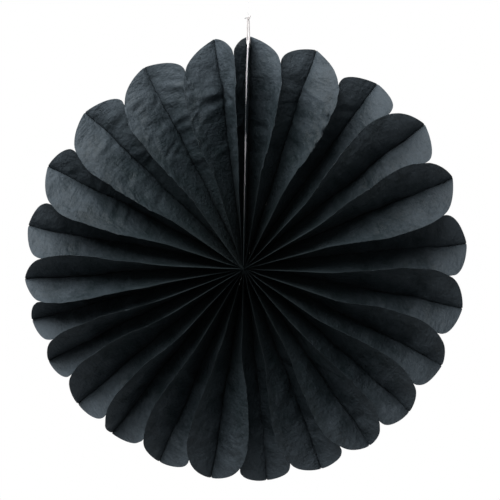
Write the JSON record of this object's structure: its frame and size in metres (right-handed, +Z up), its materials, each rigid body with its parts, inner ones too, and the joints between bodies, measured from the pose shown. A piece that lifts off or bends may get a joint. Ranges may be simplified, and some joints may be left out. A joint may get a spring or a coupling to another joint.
{
  "type": "paper fan flower",
  "caption": "Round tissue-paper fan opened into a scalloped flower, glued pleat to pleat, with card end strips and a cord loop to hang it by.",
  "frame": {"origin": "top of the eye in the clear line that the fan hangs from", "axes": "+Z up along the hanging line, the fan faces -Y, +X to the right as seen from the front"},
  "size_m": [0.4004, 0.054, 0.4509],
  "materials": {
    "tissue": "thin crinkled black tissue, matte with a faint sheen, lets a little light through",
    "card": "uncoated white card, matte",
    "tape": "double-sided paper tape",
    "thread": "grey polyester binding thread",
    "cotton_cord": "twisted white cotton cord",
    "clear_line": "clear nylon line, slightly frosted"
  },
  "bodies": {
    "root": {"leaf_01": "tissue", "leaf_02": "tissue", "leaf_03": "tissue", "leaf_04": "tissue", "leaf_05": "tissue", "leaf_06": "tissue", "leaf_07": "tissue", "leaf_08": "tissue", "leaf_09": "tissue", "leaf_10": "tissue", "leaf_11": "tissue", "leaf_12": "tissue", "leaf_13": "tissue", "leaf_14": "tissue", "leaf_15": "tissue", "leaf_16": "tissue", "leaf_17": "tissue", "leaf_18": "tissue", "leaf_19": "tissue", "leaf_20": "tissue", "leaf_21": "tissue", "leaf_22": "tissue", "leaf_23": "tissue", "leaf_24": "tissue", "leaf_25": "tissue", "leaf_26": "tissue", "leaf_27": "tissue", "leaf_28": "tissue", "leaf_29": "tissue", "leaf_30": "tissue", "leaf_31": "tissue", "leaf_32": "tissue", "leaf_33": "tissue", "leaf_34": "tissue", "leaf_35": "tissue", "leaf_36": "tissue", "leaf_37": "tissue", "leaf_38": "tissue", "leaf_39": "tissue", "leaf_40": "tissue", "leaf_41": "tissue", "leaf_42": "tissue", "leaf_43": "tissue", "leaf_44": "tissue", "leaf_45": "tissue", "leaf_46": "tissue", "leaf_47": "tissue", "leaf_48": "tissue", "facing_left": "tissue", "facing_right": "tissue", "end_card_left": "card", "end_card_right": "card", "joining_tape": "tape", "centre_thread": "thread", "hanging_loop": "cotton_cord", "loop_knot": "cotton_cord", "hanging_line": "clear_line", "eye_knot": "clear_line", "hanging_eye": "clear_line"}
  },
  "joints": []
}
